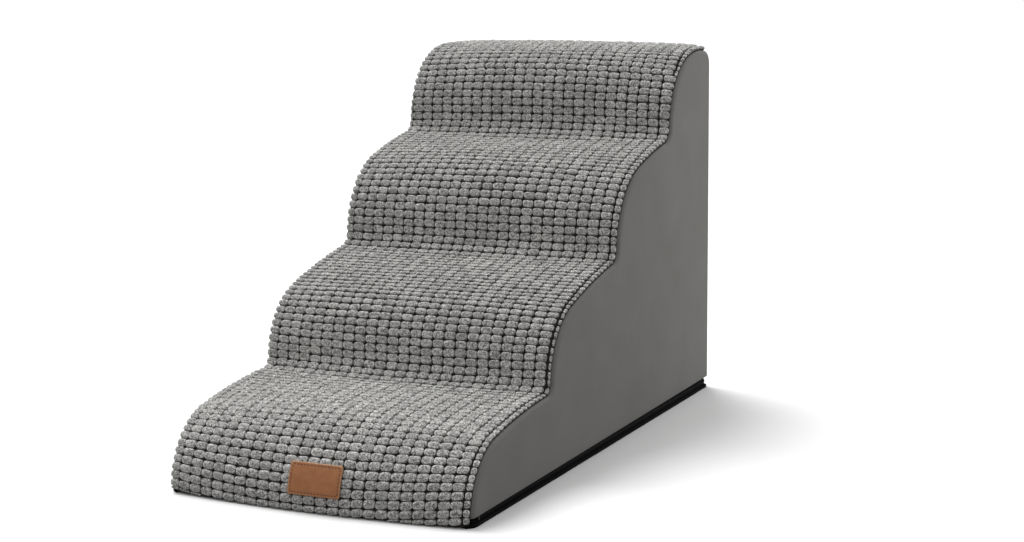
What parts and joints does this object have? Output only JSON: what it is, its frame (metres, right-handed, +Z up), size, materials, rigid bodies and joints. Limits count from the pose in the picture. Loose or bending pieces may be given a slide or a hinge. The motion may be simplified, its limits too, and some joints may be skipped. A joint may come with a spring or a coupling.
{
  "type": "foam pet stairs",
  "caption": "Free-standing foam pet stairs with rounded padded steps, a tufted pile cover, smooth side panels and a zip round the bottom.",
  "frame": {"origin": "middle of the footprint, on the floor", "axes": "+Y the way the steps climb, from the low front to the high back; +X to the right of someone who faces the steps; +Z up"},
  "size_m": [0.4, 0.8002, 0.5],
  "materials": {
    "foam": "matte",
    "pile_cloth": "matte",
    "side_cloth": "matte",
    "base_cloth": "matte",
    "zip_tape": "matte",
    "zip_coil": "satin",
    "zip_metal": "satin",
    "patch_leather": "matte"
  },
  "bodies": {
    "stairs": {"foam_lower_block": "foam", "foam_upper_block": "foam", "tread_cover": "pile_cloth", "left_side_panel": "side_cloth", "right_side_panel": "side_cloth", "back_panel": "side_cloth", "base_panel": "base_cloth", "zip_tape_lower": "zip_tape", "zip_tape_upper": "zip_tape", "zip_coil_lower": "zip_coil", "zip_coil_upper": "zip_coil", "zip_top_stops": "zip_metal", "zip_bottom_stop": "zip_metal", "label_patch": "patch_leather"},
    "slider": {"zip_slider": "zip_metal"},
    "pull_tab": {"zip_pull_tab": "zip_metal"}
  },
  "joints": [
    {"name": "zip_slide", "type": "slide", "parent": "stairs", "child": "slider", "axis": [0, 1, 0], "range_m": [0, 0.73], "deforming": ["zip_coil_lower", "zip_coil_upper"]},
    {"name": "tab_hinge", "type": "hinge", "parent": "slider", "child": "pull_tab", "pos_m": [-0.1986, -0.357, 0.009], "axis": [0, 0, 1], "range_deg": [0, 180]}
  ]
}
